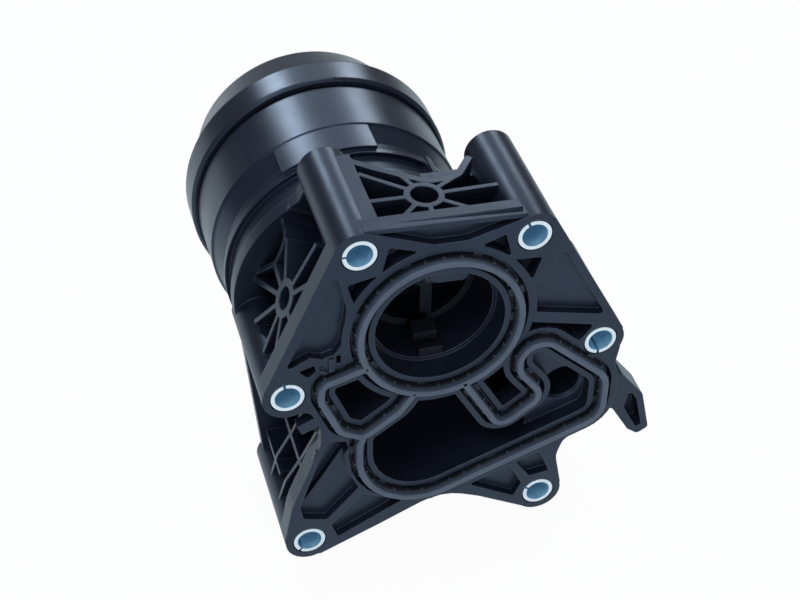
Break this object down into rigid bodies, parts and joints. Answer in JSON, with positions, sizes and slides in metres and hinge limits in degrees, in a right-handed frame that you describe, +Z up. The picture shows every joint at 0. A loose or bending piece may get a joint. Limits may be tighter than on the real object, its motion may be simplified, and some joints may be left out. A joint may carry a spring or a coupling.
{
  "type": "oil filter housing",
  "caption": "Moulded plastic oil filter housing with an engine flange, ports sealed by one loop gasket, and a screw cap over a replaceable filter element.",
  "frame": {"origin": "centre of the main port, on the flange face", "axes": "+Y along the filter axis, from the flange face towards the screw cap; +Z up as the picture stands; +X to the right seen from the flange side"},
  "size_m": [0.1413, 0.1448, 0.1388],
  "materials": {
    "housing_plastic": "satin black glass-filled nylon",
    "cap_plastic": "smooth black nylon",
    "carrier_plastic": "satin black nylon",
    "gasket_rubber": "black rubber with a light sheen",
    "ring_rubber": "black rubber",
    "zinc_steel": "bright zinc plating",
    "spring_steel": "drawn steel",
    "filter_paper": "pleated filter paper"
  },
  "bodies": {
    "root": {"housing": "housing_plastic", "sleeve_top_left": "zinc_steel", "sleeve_top_right": "zinc_steel", "sleeve_right": "zinc_steel", "sleeve_bottom": "zinc_steel", "sleeve_bottom_left": "zinc_steel", "sleeve_left": "zinc_steel", "flange_gasket": "gasket_rubber", "valve_carrier": "carrier_plastic", "bypass_spring": "spring_steel"},
    "bypass": {"bypass_valve": "spring_steel"},
    "element": {"element_paper": "filter_paper", "element_core": "carrier_plastic", "element_inner_cap": "carrier_plastic", "element_outer_cap": "carrier_plastic", "element_seal": "ring_rubber", "drain_pin_o_ring": "ring_rubber"},
    "cap": {"filter_cap": "cap_plastic", "cap_o_ring": "ring_rubber"},
    "plug_ring": {"drain_plug_o_ring": "ring_rubber"},
    "plug": {"drain_plug": "cap_plastic"}
  },
  "joints": [
    {"name": "bypass_open", "type": "slide", "parent": "root", "child": "bypass", "axis": [0, -1, 0], "range_m": [0, 0.004], "stiffness_N_per_m": 2500, "springref_m": -0.006, "deforming": ["bypass_spring"]},
    {"name": "element_out", "type": "slide", "parent": "root", "child": "element", "axis": [0, 1, 0], "range_m": [0, 0.012]},
    {"name": "cap_turn", "type": "hinge", "parent": "element", "child": "cap", "pos_m": [-0.015, 0.1, -0.012], "axis": [0, 1, 0], "range_deg": [0, 1080]},
    {"name": "plug_out", "type": "slide", "parent": "cap", "child": "plug_ring", "axis": [0, 1, 0], "range_m": [0, 0.006]},
    {"name": "plug_turn", "type": "hinge", "parent": "plug_ring", "child": "plug", "pos_m": [-0.015, 0.14, -0.012], "axis": [0, 1, 0], "range_deg": [0, 1440]}
  ],
  "couplings": [
    {"joint": "cap_turn", "follows": "element_out", "rad_per_m": 1570.8},
    {"joint": "plug_turn", "follows": "plug_out", "rad_per_m": 4188.8}
  ]
}
